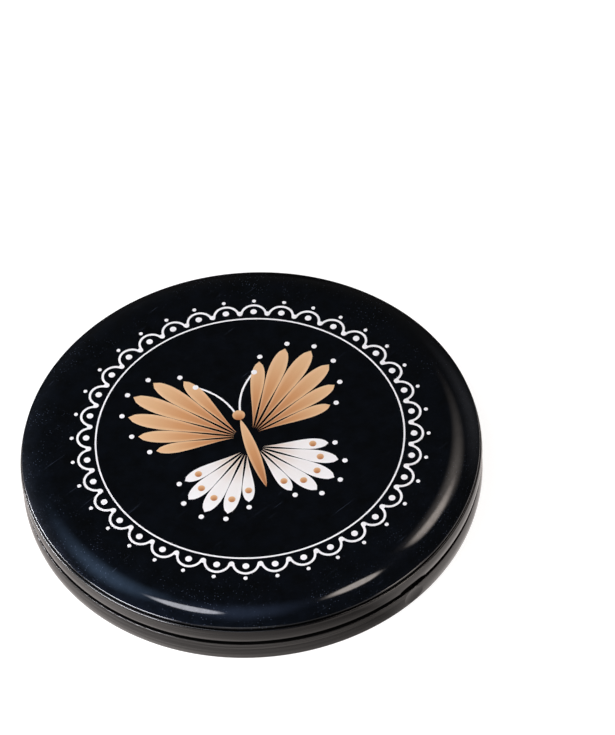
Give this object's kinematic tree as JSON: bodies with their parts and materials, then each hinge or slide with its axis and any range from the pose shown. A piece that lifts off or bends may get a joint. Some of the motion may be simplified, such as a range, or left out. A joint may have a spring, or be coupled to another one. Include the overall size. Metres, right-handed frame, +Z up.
{
  "type": "compact mirror",
  "caption": "Round pocket compact: a black base and lid on a pin hinge, a glass mirror in each half, closing magnets and a domed printed badge on the lid.",
  "frame": {"origin": "centre of the underside, on the surface that the closed compact lies on", "axes": "+Z up through the lid, +Y towards the hinge, thumb scoop at -Y"},
  "size_m": [0.07, 0.07, 0.0096],
  "materials": {
    "case_plastic": "black moulded, glossy",
    "adhesive_tape": "white double-sided tape",
    "mirror_glass": "silvered behind, ground bevel",
    "magnet_nickel": "nickel plated",
    "pin_steel": "drawn wire",
    "badge_tinplate": "pressed tinplate",
    "print_paper": "printed, near-black ground",
    "clear_film": "clear glossy polyester"
  },
  "bodies": {
    "base": {"base_shell": "case_plastic", "base_mirror_tape": "adhesive_tape", "base_mirror": "mirror_glass", "base_magnet": "magnet_nickel", "hinge_pin": "pin_steel"},
    "lid": {"lid_shell": "case_plastic", "lid_mirror_tape": "adhesive_tape", "lid_mirror": "mirror_glass", "lid_magnet": "magnet_nickel", "badge_tape": "adhesive_tape", "badge_back": "badge_tinplate", "badge_shell": "badge_tinplate", "badge_print": "print_paper", "badge_film": "clear_film"}
  },
  "joints": [
    {"name": "lid_hinge", "type": "hinge", "parent": "base", "child": "lid", "pos_m": [0, 0.0331, 0.00422], "axis": [-1, 0, 0], "range_deg": [0, 110]}
  ]
}
